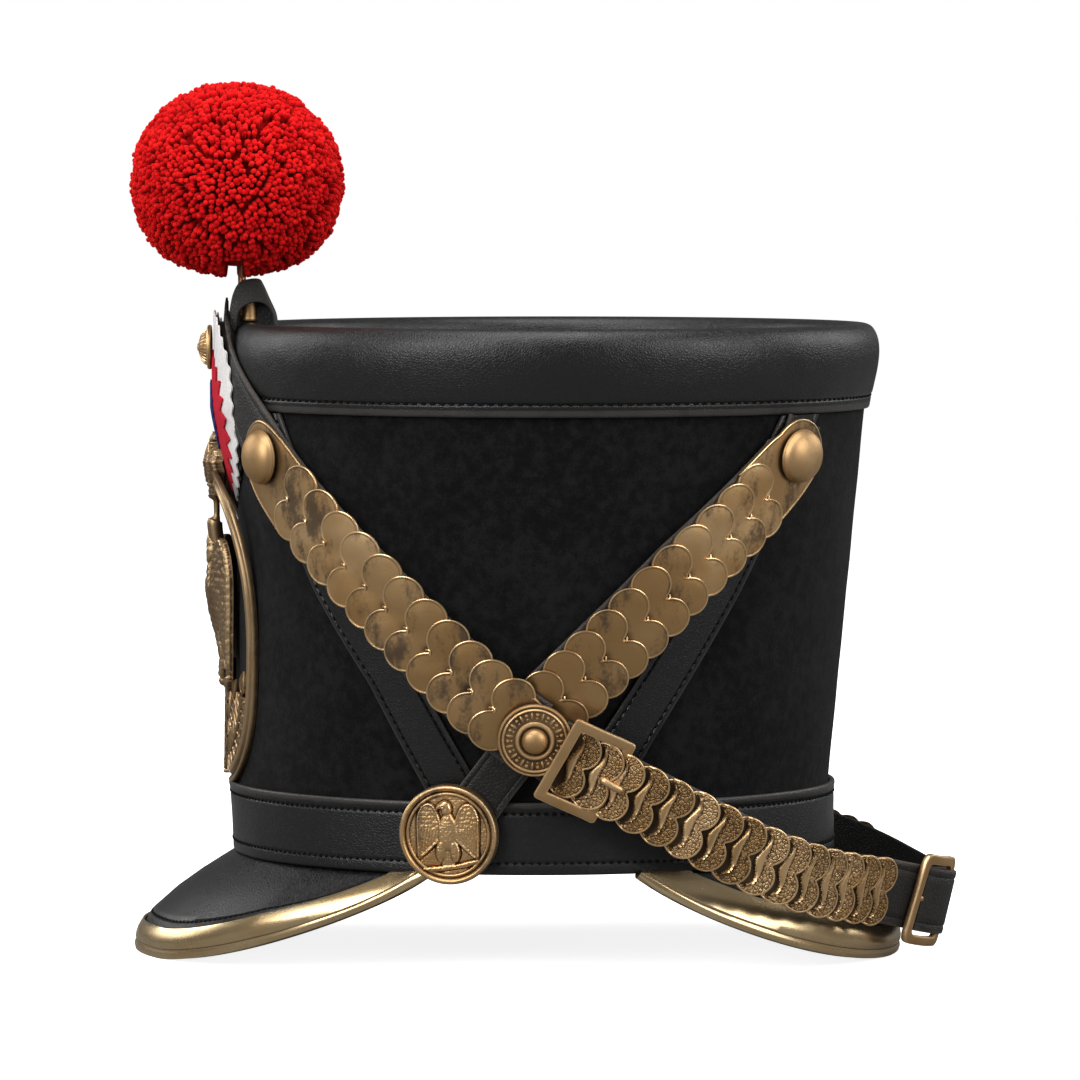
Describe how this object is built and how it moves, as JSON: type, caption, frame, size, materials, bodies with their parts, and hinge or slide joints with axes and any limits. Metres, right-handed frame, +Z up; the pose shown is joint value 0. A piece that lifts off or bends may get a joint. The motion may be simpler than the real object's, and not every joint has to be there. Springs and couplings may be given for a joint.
{
  "type": "shako hat",
  "caption": "Tall felt military cap with leather bands and two brass-edged peaks, crossed brass scale straps, an open oval plate, a rosette and a round wool pompom.",
  "frame": {"origin": "centre of the hat's bounding box in x and y, on the surface it stands on", "axes": "+Z up; the front of the hat faces -Y and the wearer's left is +X"},
  "size_m": [0.2282, 0.292, 0.3067],
  "materials": {
    "felt": "black wool felt with a short nap",
    "leather": "black grained leather, satin",
    "strap_leather": "brown-black worn leather",
    "old_brass": "antique brass with dark patina and bright edges",
    "bright_brass": "polished brass",
    "copper": "copper rod, satin",
    "wool": "red wool yarn, cut pile",
    "cockade_cloth": "pleated cloth rosette, white, red and blue"
  },
  "bodies": {
    "root": {"base_band": "leather", "boss_disc_left": "old_brass", "boss_disc_right": "old_brass", "button_tab_left": "strap_leather", "button_tab_right": "strap_leather", "chin_scales_left": "old_brass", "chin_scales_right": "old_brass", "chin_strap_left": "strap_leather", "chin_strap_right": "strap_leather", "cockade": "cockade_cloth", "cockade_backing": "leather", "cockade_button": "old_brass", "crown_shell": "felt", "crown_top": "leather", "front_chevron_left": "leather", "front_chevron_right": "leather", "front_peak": "leather", "front_peak_trim": "bright_brass", "front_rivet_left": "old_brass", "front_rivet_right": "old_brass", "front_scales_left": "old_brass", "front_scales_right": "old_brass", "front_strap_left": "strap_leather", "front_strap_right": "strap_leather", "plate_eagle": "old_brass", "plate_frame": "old_brass", "plate_wreath": "old_brass", "pompom": "wool", "pompom_stem": "copper", "rear_buckle": "old_brass", "rear_chevron_left": "leather", "rear_chevron_right": "leather", "rear_peak": "leather", "rear_peak_trim": "bright_brass", "rear_rivet_left": "old_brass", "rear_rivet_right": "old_brass", "rear_scales_left": "old_brass", "rear_scales_right": "old_brass", "rear_strap_left": "strap_leather", "rear_strap_right": "strap_leather", "side_buckle_left": "old_brass", "side_buckle_right": "old_brass", "side_button_left": "old_brass", "side_button_right": "old_brass", "socket_loop": "leather", "socket_tube": "old_brass", "top_band": "leather"}
  },
  "joints": []
}
